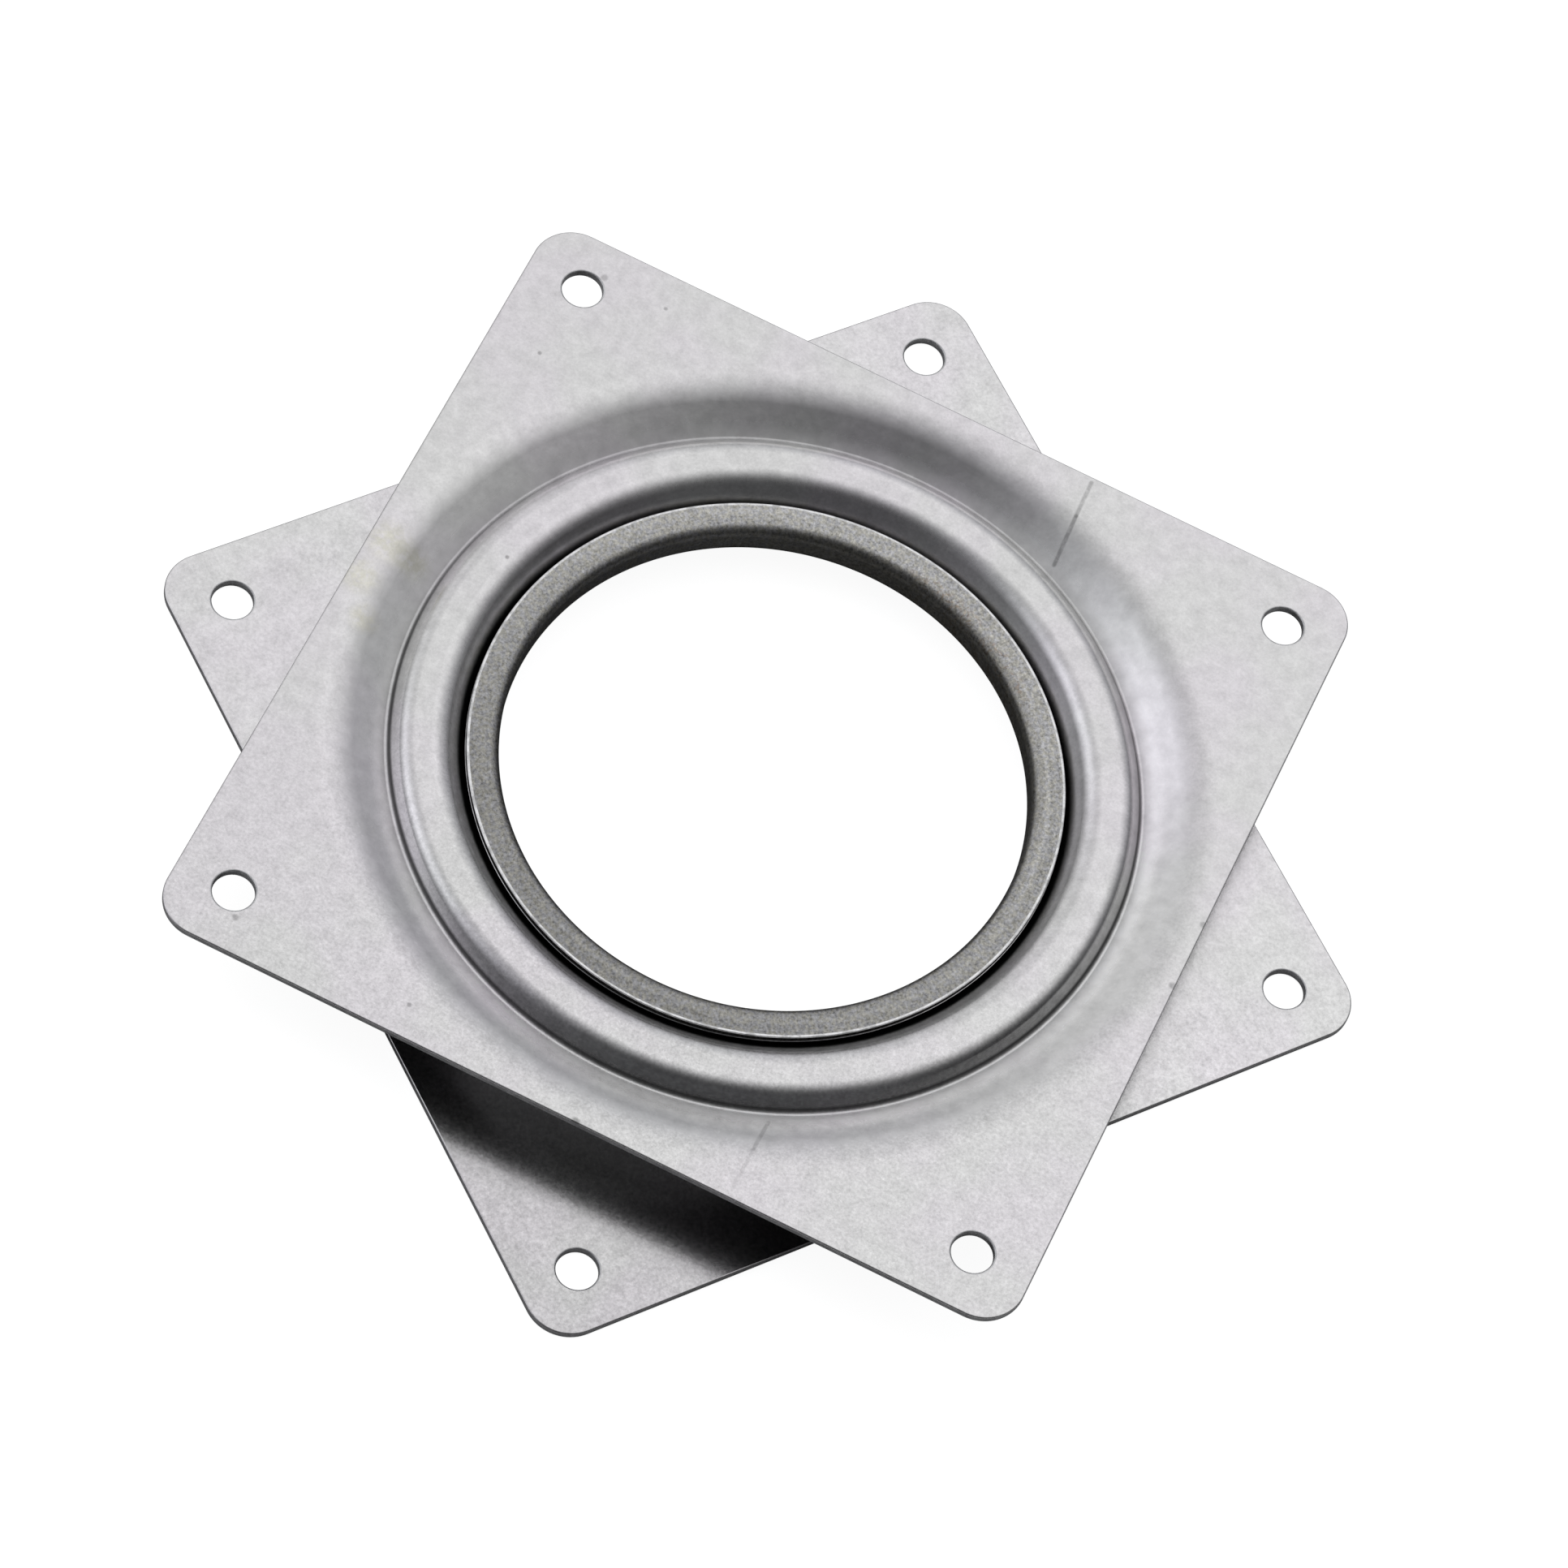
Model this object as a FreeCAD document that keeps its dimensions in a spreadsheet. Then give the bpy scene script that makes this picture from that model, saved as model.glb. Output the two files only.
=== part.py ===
import FreeCAD, Part
import math
import os
import Sketcher

# A square swivel bearing pressed from sheet steel: two dished plates with a ring of loose balls between them.
# Lengths are in millimetres and angles in degrees. +Z is up, and the origin is on the axis, on the face that
# is screwed down. Both plates are drawn the same way up, about the plane of the ball centres, with the face
# that is screwed to something on top. The bottom plate is then turned over.

SIZES = {
    # the two square plates
    "side": 100.0,
    "corner_radius": 4.8,
    "sheet": 0.9,
    # screw holes, one near each corner, this far in from both sides
    "hole_inset": 6.8,
    "hole_diameter": 4.6,
    # the balls and the arched race that they run in
    "race_radius": 37.4,
    "ball_diameter": 6.0,
    "ball_clearance": 0.3,
    "ball_gap": 0.5,
    # the bead over the balls: its depth below the face of the rim, its two rounded shoulders, how far its
    # flat crown reaches out past the race, and the slope of its walls
    "bead_sink": 0.8,
    "inner_shoulder": 2.85,
    "outer_shoulder": 2.3,
    "crown_reach": 1.15,
    "wall_angle": 49.0,
    # the gap between the two plates at their creases, just outside the race
    "plate_gap": 2.4,
    # the slope from the crease up to the rim, and the soft bend where it meets the rim
    "dish_angle": 28.0,
    "dish_bend": 9.1,
    # the inside radius of the crease and of the fold where the flange meets the inner wall
    "fold_radius": 0.3,
    # the top plate's flange, the gaps round it in the bottom plate's neck, and the inside radius of the
    # neck's two folds
    "flange_height": 0.95,
    "lip_clearance": 0.9,
    "web_clearance": 0.9,
    "neck_clearance": 0.65,
    "neck_radius": 0.4,
    # how far the lip reaches over the flange, and how far it stops short of the inner wall
    "lip_overlap": 2.18,
    "lip_gap": 0.42,
    # how far the round blank stands past the corners of the square before it is trimmed
    "blank_margin": 5.0,
    # how far the top plate is turned from the bottom plate
    "rest_turn": 38.57,
}

# sizes that follow from the ones above
DERIVED = {
    "hole_place": "=sizes.side / 2 - sizes.hole_inset",
    "crown_height": "=sizes.ball_diameter / 2 + sizes.ball_clearance + sizes.sheet",
    "inner_centre": "=crown_height - sizes.inner_shoulder",
    "outer_centre": "=crown_height - sizes.outer_shoulder",
    # the crown stops where the inner wall clears the balls as far as the crown does
    "crown_inset": "=inner_centre * tan(sizes.wall_angle / 2)",
    "ball_count": "=trunc(2 * pi * sizes.race_radius / (sizes.ball_diameter + sizes.ball_gap))",
    "half_height": "=crown_height + sizes.bead_sink",
    "crease_height": "=sizes.sheet + sizes.plate_gap / 2",
    "lip_height": "=sizes.flange_height + sizes.lip_clearance",
    "lip_drop": "=(inner_centre - lip_height) * cos(sizes.wall_angle) + sizes.inner_shoulder + sizes.lip_gap",
    "lip_radius": "=sizes.race_radius - crown_inset - lip_drop / sin(sizes.wall_angle)",
    "flange_radius": "=lip_radius - sizes.lip_overlap",
    "throat_radius": "=flange_radius - sizes.neck_clearance - sizes.sheet",
    "neck_fold": "=sizes.neck_radius + sizes.sheet",
    # the neck goes round the web, the flange, the lip and the gaps between them
    "neck_height": "=3 * sizes.sheet + sizes.web_clearance + sizes.lip_clearance",
    "web_height": "=2 * sizes.sheet + sizes.web_clearance - sizes.flange_height",
    "blank_radius": "=sizes.side * sqrt(0.5) + sizes.blank_margin",
    "waste_radius": "=blank_radius + sizes.blank_margin",
}

UP = FreeCAD.Vector(0, 0, 1)
CORNERS = 4


def fill_sheet(doc, name, rows):
    """A spreadsheet with one named row for each size."""
    sheet = doc.addObject("Spreadsheet::Sheet", name)
    for row, (alias, content) in enumerate(rows.items(), start=1):
        sheet.set(f"A{row}", alias)
        sheet.set(f"B{row}", str(content))
        sheet.setAlias(f"B{row}", alias)
    doc.recompute()
    return {alias: float(getattr(sheet, alias)) for alias in rows}


def polar(centre, radius, degrees):
    """The point at this radius and angle from a centre."""
    angle = math.radians(degrees)
    return centre + FreeCAD.Vector(radius * math.cos(angle), radius * math.sin(angle), 0)


class Outline:
    """A closed chain of straight runs and folds in a sketch, with its sizes bound to the spreadsheets."""

    def __init__(self, sketch):
        self.sketch = sketch
        self.first = None
        self.last = None

    def run(self, start, end, smooth=False):
        """A straight run to the next point."""
        index = self.sketch.addGeometry(Part.LineSegment(start, end))
        self.join(index, 1, smooth)
        self.last = (index, 2)
        return index

    def fold(self, centre, radius, start, end):
        """A tangent arc about a centre, from one angle to another."""
        circle = Part.Circle(centre, UP, radius)
        low, high = math.radians(min(start, end)), math.radians(max(start, end))
        index = self.sketch.addGeometry(Part.ArcOfCircle(circle, low, high))
        entry, leave = (1, 2) if end > start else (2, 1)
        self.join(index, entry, True)
        self.last = (index, leave)
        return index

    def join(self, index, entry, smooth):
        """Join a stretch to the one before it, smoothly or at a corner."""
        if self.last is None:
            self.first = (index, entry)
        elif smooth:
            self.rule("Tangent", *self.last, index, entry)
        else:
            self.rule("Coincident", *self.last, index, entry)

    def close(self, smooth=False):
        """Join the last stretch to the first."""
        self.join(*self.first, smooth)

    def rule(self, kind, *where):
        """A rule without a size, such as Horizontal."""
        self.sketch.addConstraint(Sketcher.Constraint(kind, *where))

    def size(self, kind, *where, value, formula):
        """A size bound to the spreadsheets. The value starts it off where the formula will hold it."""
        index = self.sketch.addConstraint(Sketcher.Constraint(kind, *where, value))
        self.sketch.setExpression(f"Constraints[{index}]", formula)

    def across(self, *where, value, formula):
        """The distance of a point or centre to the right of the origin."""
        self.size("DistanceX", -1, 1, *where, value=value, formula=formula)

    def above(self, *where, value, formula):
        """The distance of a point or centre above the origin."""
        self.size("DistanceY", -1, 1, *where, value=value, formula=formula)


def add_sketch(body, name, role):
    """A sketch on one of the body's own origin planes."""
    sketch = body.newObject("Sketcher::SketchObject", name)
    plane = next(feature for feature in body.Origin.OriginFeatures if feature.Role == role)
    sketch.AttachmentSupport = [(plane, "")]
    sketch.MapMode = "FlatFace"
    return sketch


def fold_centres(now, flat_height):
    """Where a plate's section has its centres: flange fold, inner and outer shoulder, crease and dish bend.

    Each of the bead's two walls runs between a shoulder and a tight fold and touches both. The dish bend is
    where a line at the dish's angle, drawn from the crease, meets the rim's face.
    """
    tight = now["fold_radius"]
    wall = math.radians(now["wall_angle"])
    inner = FreeCAD.Vector(now["race_radius"] - now["crown_inset"], now["inner_centre"], 0)
    outer = FreeCAD.Vector(now["race_radius"] + now["crown_reach"], now["outer_centre"], 0)

    flange_up = flat_height + tight
    across = now["inner_shoulder"] + tight - (flange_up - inner.y) * math.cos(wall)
    flange = FreeCAD.Vector(inner.x - across / math.sin(wall), flange_up, 0)

    crease_up = now["crease_height"] + tight
    across = now["outer_shoulder"] + tight - (crease_up - outer.y) * math.cos(wall)
    crease = FreeCAD.Vector(outer.x + across / math.sin(wall), crease_up, 0)

    slope = math.radians(now["dish_angle"])
    dish_up = now["half_height"] - now["dish_bend"]
    rise = (dish_up - crease_up) * math.cos(slope) + now["dish_bend"] + tight
    dish = FreeCAD.Vector(crease.x + rise / math.sin(slope), dish_up, 0)
    return flange, inner, outer, crease, dish


def draw_section(sketch, now, with_neck):
    """The sheet's section, from its inner edge out to the edge of the round blank.

    Going out, it is a flat flange or web, a fold, the bead with its two walls, two shoulders and flat crown,
    the crease, the slope of the dish, the dish bend and the rim. Each fold has one centre for both faces, so
    the sheet is as thick in its folds as in its flats. The bottom plate's web goes on inwards into the neck,
    which is folded back out as the lip that holds the top plate's flange.
    """
    sheet = now["sheet"]
    tight, bend = now["fold_radius"], now["dish_bend"]
    inner_round, outer_round = now["inner_shoulder"], now["outer_shoulder"]
    slope, wall = now["dish_angle"], now["wall_angle"]
    flat_height = now["web_height"] if with_neck else now["flange_height"]
    flange, inner, outer, crease, dish = fold_centres(now, flat_height)
    down = FreeCAD.Vector(0, -sheet, 0)
    rim_end = FreeCAD.Vector(now["blank_radius"], now["half_height"], 0)

    line = Outline(sketch)
    if with_neck:
        snug, full = now["neck_radius"], now["neck_fold"]
        lip_end = FreeCAD.Vector(now["lip_radius"], flat_height - now["neck_height"], 0)
        lip_fold = FreeCAD.Vector(now["throat_radius"] + full, lip_end.y + full, 0)
        web_fold = FreeCAD.Vector(now["throat_radius"] + full, flat_height - full, 0)
        flat_start = polar(web_fold, full, 90)
        lip_face = line.run(lip_end, polar(lip_fold, full, 270))
        lip_fold_face = line.fold(lip_fold, full, 270, 180)
        neck_face = line.run(polar(lip_fold, full, 180), polar(web_fold, full, 180), smooth=True)
        web_fold_face = line.fold(web_fold, full, 180, 90)
    else:
        flat_start = FreeCAD.Vector(now["flange_radius"], flat_height, 0)

    # the face that is seen, going out
    flat_face = line.run(flat_start, polar(flange, tight, -90), smooth=with_neck)
    fold_face = line.fold(flange, tight, -90, wall - 90)
    inner_wall = line.run(polar(flange, tight, wall - 90), polar(inner, inner_round, wall + 90), smooth=True)
    inner_face = line.fold(inner, inner_round, wall + 90, 90)
    crown_face = line.run(polar(inner, inner_round, 90), polar(outer, outer_round, 90), smooth=True)
    outer_face = line.fold(outer, outer_round, 90, 90 - wall)
    outer_wall = line.run(polar(outer, outer_round, 90 - wall), polar(crease, tight, -90 - wall), smooth=True)
    crease_face = line.fold(crease, tight, -90 - wall, slope - 90)
    slope_face = line.run(polar(crease, tight, slope - 90), polar(dish, bend, slope + 90), smooth=True)
    dish_face = line.fold(dish, bend, slope + 90, 90)
    rim_face = line.run(polar(dish, bend, 90), rim_end, smooth=True)
    blank_edge = line.run(rim_end, rim_end + down)

    # the face towards the other plate, coming back
    wide = tight + sheet
    inner_snug, outer_snug = inner_round - sheet, outer_round - sheet
    rim_back = line.run(rim_end + down, polar(dish, bend - sheet, 90))
    dish_back = line.fold(dish, bend - sheet, 90, slope + 90)
    line.run(polar(dish, bend - sheet, slope + 90), polar(crease, wide, slope - 90), smooth=True)
    crease_back = line.fold(crease, wide, slope - 90, -90 - wall)
    line.run(polar(crease, wide, -90 - wall), polar(outer, outer_snug, 90 - wall), smooth=True)
    outer_back = line.fold(outer, outer_snug, 90 - wall, 90)
    crown_back = line.run(polar(outer, outer_snug, 90), polar(inner, inner_snug, 90), smooth=True)
    inner_back = line.fold(inner, inner_snug, 90, wall + 90)
    line.run(polar(inner, inner_snug, wall + 90), polar(flange, wide, wall - 90), smooth=True)
    fold_back = line.fold(flange, wide, wall - 90, -90)
    flat_back = line.run(polar(flange, wide, -90), flat_start + down, smooth=True)
    if with_neck:
        web_fold_back = line.fold(web_fold, snug, 90, 180)
        neck_back = line.run(polar(web_fold, snug, 180), polar(lip_fold, snug, 180), smooth=True)
        lip_fold_back = line.fold(lip_fold, snug, 180, 270)
        lip_back = line.run(polar(lip_fold, snug, 270), lip_end - down, smooth=True)
        inner_edge = line.run(lip_end - down, lip_end)
    else:
        inner_edge = line.run(flat_start + down, flat_start)
    line.close()

    pairs = [(fold_face, fold_back), (inner_face, inner_back), (outer_face, outer_back)]
    pairs += [(crease_face, crease_back), (dish_face, dish_back)]
    flats = [flat_face, flat_back, crown_face, crown_back, rim_face, rim_back]
    uprights = [blank_edge, inner_edge]
    if with_neck:
        pairs += [(lip_fold_face, lip_fold_back), (web_fold_face, web_fold_back)]
        flats += [lip_face, lip_back]
        uprights += [neck_face, neck_back]
    for face, back in pairs:
        line.rule("Coincident", face, 3, back, 3)
    for flat in flats:
        line.rule("Horizontal", flat)
    for upright in uprights:
        line.rule("Vertical", upright)

    for fold in (fold_face, crease_face):
        line.size("Radius", fold, value=tight, formula="sizes.fold_radius")
    for fold in (fold_back, crease_back):
        line.size("Radius", fold, value=wide, formula="sizes.fold_radius + sizes.sheet")
    line.size("Radius", inner_face, value=inner_round, formula="sizes.inner_shoulder")
    line.size("Radius", inner_back, value=inner_snug, formula="sizes.inner_shoulder - sizes.sheet")
    line.size("Radius", outer_face, value=outer_round, formula="sizes.outer_shoulder")
    line.size("Radius", dish_face, value=bend, formula="sizes.dish_bend")
    line.size("Radius", dish_back, value=bend - sheet, formula="sizes.dish_bend - sizes.sheet")
    line.size("Angle", inner_wall, value=math.radians(wall), formula="sizes.wall_angle * 1 deg")
    line.size("Angle", outer_wall, value=-math.radians(wall), formula="-sizes.wall_angle * 1 deg")
    line.size("Angle", slope_face, value=math.radians(slope), formula="sizes.dish_angle * 1 deg")
    line.across(inner_face, 3, value=inner.x, formula="sizes.race_radius - derived.crown_inset")
    line.across(outer_face, 3, value=outer.x, formula="sizes.race_radius + sizes.crown_reach")
    line.above(crown_face, 1, value=now["crown_height"], formula="derived.crown_height")
    line.above(crease_face, 3, value=crease.y, formula="derived.crease_height + sizes.fold_radius")
    line.above(rim_face, 2, value=rim_end.y, formula="derived.half_height")
    line.across(rim_face, 2, value=rim_end.x, formula="derived.blank_radius")
    if with_neck:
        for fold in (lip_fold_face, web_fold_face):
            line.size("Radius", fold, value=full, formula="derived.neck_fold")
        line.across(neck_face, 1, value=now["throat_radius"], formula="derived.throat_radius")
        neck = now["neck_height"]
        line.size("DistanceY", lip_face, 1, flat_face, 2, value=neck, formula="derived.neck_height")
        line.across(lip_face, 1, value=lip_end.x, formula="derived.lip_radius")
        line.above(flat_face, 2, value=flat_height, formula="derived.web_height")
    else:
        line.across(flat_face, 1, value=flat_start.x, formula="derived.flange_radius")
        line.above(flat_face, 2, value=flat_height, formula="sizes.flange_height")


def draw_waste(sketch, now):
    """What is trimmed off the round blank: a ring round a square with round corners."""
    half, corner = now["side"] / 2, now["corner_radius"]
    reach = half - corner
    line = Outline(sketch)
    sides, corners = [], []
    for quarter in range(CORNERS):
        turn = 90 * quarter
        spin = FreeCAD.Rotation(UP, turn)
        start = spin.multVec(FreeCAD.Vector(half, -reach, 0))
        end = spin.multVec(FreeCAD.Vector(half, reach, 0))
        centre = spin.multVec(FreeCAD.Vector(reach, reach, 0))
        sides.append(line.run(start, end, smooth=True))
        corners.append(line.fold(centre, corner, turn, turn + 90))
    line.close(smooth=True)

    right, upper, left, lower = sides
    for upright in (right, left):
        line.rule("Vertical", upright)
    for level in (upper, lower):
        line.rule("Horizontal", level)
    for other in corners[1:]:
        line.rule("Equal", corners[0], other)
    line.size("Radius", corners[0], value=corner, formula="sizes.corner_radius")
    line.across(right, 1, value=half, formula="sizes.side / 2")
    line.above(upper, 1, value=half, formula="sizes.side / 2")
    line.size("DistanceX", left, 1, -1, 1, value=half, formula="sizes.side / 2")
    line.size("DistanceY", lower, 1, -1, 1, value=half, formula="sizes.side / 2")

    ring = sketch.addGeometry(Part.Circle(FreeCAD.Vector(), UP, now["waste_radius"]))
    line.rule("Coincident", ring, 3, -1, 1)
    line.size("Radius", ring, value=now["waste_radius"], formula="derived.waste_radius")


def draw_hole(sketch, now):
    """The first screw hole."""
    place = now["hole_place"]
    centre = FreeCAD.Vector(place, place, 0)
    hole = sketch.addGeometry(Part.Circle(centre, UP, now["hole_diameter"] / 2))
    line = Outline(sketch)
    line.size("Diameter", hole, value=now["hole_diameter"], formula="sizes.hole_diameter")
    line.across(hole, 3, value=place, formula="derived.hole_place")
    line.above(hole, 3, value=place, formula="derived.hole_place")


def cut_through(body, name, sketch):
    """Cut a sketch's shape out of the sheet, on both sides of the sketch."""
    before = body.Tip.Shape.Volume
    pocket = body.newObject("PartDesign::Pocket", name)
    pocket.Profile = sketch
    pocket.Type = "ThroughAll"
    pocket.Midplane = True
    body.Document.recompute()
    if not pocket.Shape.Volume < before:
        raise RuntimeError(f"{name} cut nothing")
    return pocket


def make_plate(doc, name, now, with_neck):
    """One pressed plate: its section turned about the axis, trimmed to a square and pierced."""
    body = doc.addObject("PartDesign::Body", name)
    body.Label = name

    section = add_sketch(body, f"{name}_section", "XZ_Plane")
    draw_section(section, now, with_neck)
    pressing = body.newObject("PartDesign::Revolution", f"{name}_pressing")
    pressing.Profile = section
    pressing.ReferenceAxis = (section, ["V_Axis"])
    pressing.Angle = 360
    doc.recompute()

    waste = add_sketch(body, f"{name}_waste", "XY_Plane")
    draw_waste(waste, now)
    cut_through(body, f"{name}_square", waste)

    hole = add_sketch(body, f"{name}_hole", "XY_Plane")
    draw_hole(hole, now)
    first_hole = cut_through(body, f"{name}_pierced", hole)
    holes = body.newObject("PartDesign::PolarPattern", f"{name}_holes")
    holes.Originals = [first_hole]
    holes.Axis = (hole, ["N_Axis"])
    holes.Angle = 360
    holes.Occurrences = CORNERS
    body.Tip = holes
    doc.recompute()
    return body


def make_balls(doc, now):
    """The ring of loose balls, evenly spaced in the race."""
    balls = []
    for index in range(round(now["ball_count"])):
        name = f"ball_{index + 1:02d}"
        ball = doc.addObject("Part::Sphere", name)
        ball.Label = name
        turn = f"{index} * 360 / derived.ball_count"
        ball.setExpression("Radius", "sizes.ball_diameter / 2")
        ball.setExpression(".Placement.Base.x", f"sizes.race_radius * cos({turn})")
        ball.setExpression(".Placement.Base.y", f"sizes.race_radius * sin({turn})")
        ball.setExpression(".Placement.Base.z", "derived.half_height")
        balls.append(ball)
    return balls


def check(doc, parts):
    """Stop if anything in the document failed, or a part isn't one sound solid."""
    for item in doc.Objects:
        if "Invalid" in item.State or "Error" in item.State:
            raise RuntimeError(f"{item.Name} failed: {item.State}")
        if item.isDerivedFrom("Sketcher::SketchObject") and not item.FullyConstrained:
            raise RuntimeError(f"{item.Name} isn't fully constrained")
    for part in parts:
        shape = part.Shape
        if shape.isNull() or not shape.isValid() or len(shape.Solids) != 1:
            raise RuntimeError(f"{part.Label} isn't one sound solid")


def main():
    doc = FreeCAD.newDocument("swivel_bearing")
    now = fill_sheet(doc, "sizes", SIZES)
    now.update(fill_sheet(doc, "derived", DERIVED))
    ball_plane = FreeCAD.Vector(0, 0, now["half_height"])

    bottom_plate = make_plate(doc, "bottom_plate", now, with_neck=True)
    turned_over = FreeCAD.Rotation(FreeCAD.Vector(1, 0, 0), 180)
    bottom_plate.Placement = FreeCAD.Placement(ball_plane, turned_over)
    bottom_plate.setExpression(".Placement.Base.z", "derived.half_height")

    top_plate = make_plate(doc, "top_plate", now, with_neck=False)
    top_plate.Placement = FreeCAD.Placement(ball_plane, FreeCAD.Rotation(UP, now["rest_turn"]))
    top_plate.setExpression(".Placement.Base.z", "derived.half_height")
    top_plate.setExpression(".Placement.Rotation.Angle", "sizes.rest_turn * 1 deg")

    parts = [bottom_plate, top_plate] + make_balls(doc, now)
    doc.recompute()
    check(doc, parts)

    os.makedirs("parts", exist_ok=True)
    for part in parts:
        part.Shape.exportStep(f"parts/{part.Label}.step")


main()
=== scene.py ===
import math

import bpy
from mathutils import Matrix, Vector
from mathutils.geometry import delaunay_2d_cdt


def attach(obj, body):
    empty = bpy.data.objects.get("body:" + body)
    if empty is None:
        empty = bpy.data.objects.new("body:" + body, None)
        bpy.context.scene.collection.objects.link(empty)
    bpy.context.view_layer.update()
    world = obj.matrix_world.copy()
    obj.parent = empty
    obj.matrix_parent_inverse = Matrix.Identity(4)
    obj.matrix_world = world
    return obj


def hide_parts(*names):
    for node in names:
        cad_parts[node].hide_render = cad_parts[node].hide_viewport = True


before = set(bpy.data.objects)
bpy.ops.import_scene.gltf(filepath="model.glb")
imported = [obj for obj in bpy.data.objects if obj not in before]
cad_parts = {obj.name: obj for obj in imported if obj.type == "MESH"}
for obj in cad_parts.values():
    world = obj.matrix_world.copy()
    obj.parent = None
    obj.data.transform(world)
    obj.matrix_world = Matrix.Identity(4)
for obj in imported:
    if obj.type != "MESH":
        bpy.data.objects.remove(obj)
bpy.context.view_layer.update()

MM = 0.001

# the plates as in the solids, in millimetres and degrees
SIDE = 100.0
CORNER = 4.8
HEIGHT = 10.0
SHEET = 0.9
HOLE_RADIUS = 2.3
HOLE_PLACE = 43.2
REST_TURN = 38.57
RACE = 37.4
CROWN = 9.2
CROWN_INSET = 0.6152
CROWN_REACH = 1.15
INNER_SHOULDER = 2.85
OUTER_SHOULDER = 2.3
WALL_ANGLE = 49.0
FOLD = 0.3
DISH_ANGLE = 28.0
DISH_BEND = 9.1
VALLEY = 7.1
FLANGE_TOP = 5.95
FLANGE_TIP = 30.7066
WEB_FACE = 6.75
LIP_FACE = 2.25
NECK_FOLD = 1.3
THROAT = 29.1566
LIP_TIP = 32.8866
# where the dish meets the race's wall
CREASE = 41.16

# the rubbed band round the lip's tip, and the tip's roundings, step and burr
RUBBED_BAND = 0.38
TIP_ROUND = 0.12
TIP_BACK_ROUND = 0.05
TIP_STEP = 0.07
BURR_START = 0.15
BURR_END = 0.08
HAIR = 0.01

# the small roundings that shearing leaves on the sheet's edges, on the seen face and on the other face
ROLL = 0.20
BURR = 0.16
HOLE_ROLL = 0.24
HOLE_BURR = 0.06
FLANGE_ROLL = 0.14
FLANGE_BURR = 0.06
EDGE_STEPS = 6

AROUND = 288
CORNER_STEPS = 20
SIDE_STEPS = 40
HOLE_STEPS = 48

ZINC, CUT, CURLED, RUBBED = range(4)
# the outline's number among the loops of a flat face, after the turned part's
OUTLINE = 1


def heading(angle):
    """A level direction from an angle in degrees."""
    a = math.radians(angle)
    return (math.cos(a), math.sin(a), 0.0)


def arc(centre, radius, start, end, steps, side, paint=ZINC):
    """Points of an arc, with normals that point away from its centre (side 1) or to it (side -1)."""
    points = []
    for i in range(steps + 1):
        a = math.radians(start + (end - start)*i/steps)
        c, s = math.cos(a), math.sin(a)
        points.append((centre[0] + radius*c, centre[1] + radius*s, side*c, side*s, paint))
    return points


def pressed_section(with_neck):
    """The section from the flat rim in to the plate's inner edge, and back on the sheet's other face."""
    wall = math.radians(WALL_ANGLE)
    inner = (RACE - CROWN_INSET, CROWN - INNER_SHOULDER)
    outer = (RACE + CROWN_REACH, CROWN - OUTER_SHOULDER)
    crease_height = VALLEY + FOLD
    across = OUTER_SHOULDER + FOLD - (crease_height - outer[1])*math.cos(wall)
    crease = (outer[0] + across/math.sin(wall), crease_height)
    fold_height = (WEB_FACE if with_neck else FLANGE_TOP) + FOLD
    across = INNER_SHOULDER + FOLD - (fold_height - inner[1])*math.cos(wall)
    fold = (inner[0] - across/math.sin(wall), fold_height)

    slope = math.radians(DISH_ANGLE)
    bend_height = HEIGHT - DISH_BEND
    rise = (bend_height - crease_height)*math.cos(slope) + DISH_BEND + FOLD
    bend = (crease[0] + rise/math.sin(slope), bend_height)

    lean = 90 + DISH_ANGLE
    facing_in, facing_out = 90 + WALL_ANGLE, 90 - WALL_ANGLE
    section = arc(bend, DISH_BEND, 90, lean, 16, 1)
    section += arc(crease, FOLD, lean + 180, facing_out + 180, 10, -1)
    section += arc(outer, OUTER_SHOULDER, facing_out, 90, 18, 1)
    section += arc(inner, INNER_SHOULDER, 90, facing_in, 18, 1)
    section += arc(fold, FOLD, facing_in + 180, 270, 8, -1)
    if with_neck:
        section += neck_and_lip()
    else:
        upper_middle = (FLANGE_TIP + FLANGE_ROLL, FLANGE_TOP - FLANGE_ROLL)
        lower_middle = (FLANGE_TIP + FLANGE_BURR, FLANGE_TOP - SHEET + FLANGE_BURR)
        section += arc(upper_middle, FLANGE_ROLL, 90, 180, 5, 1, CUT)
        section += arc(lower_middle, FLANGE_BURR, 180, 270, 3, 1, CUT)
    section += arc(fold, FOLD + SHEET, 270, facing_in + 180, 10, 1)
    section += arc(inner, INNER_SHOULDER - SHEET, facing_in, 90, 14, -1)
    section += arc(outer, OUTER_SHOULDER - SHEET, 90, facing_out, 14, -1)
    section += arc(crease, FOLD + SHEET, facing_out + 180, lean + 180, 12, 1)
    section += arc(bend, DISH_BEND - SHEET, lean, 90, 14, -1)
    return section


def repaint_last(points, paint):
    """Give the stretch after the last point another paint."""
    points[-1] = points[-1][:4] + (paint,)
    return points


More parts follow.
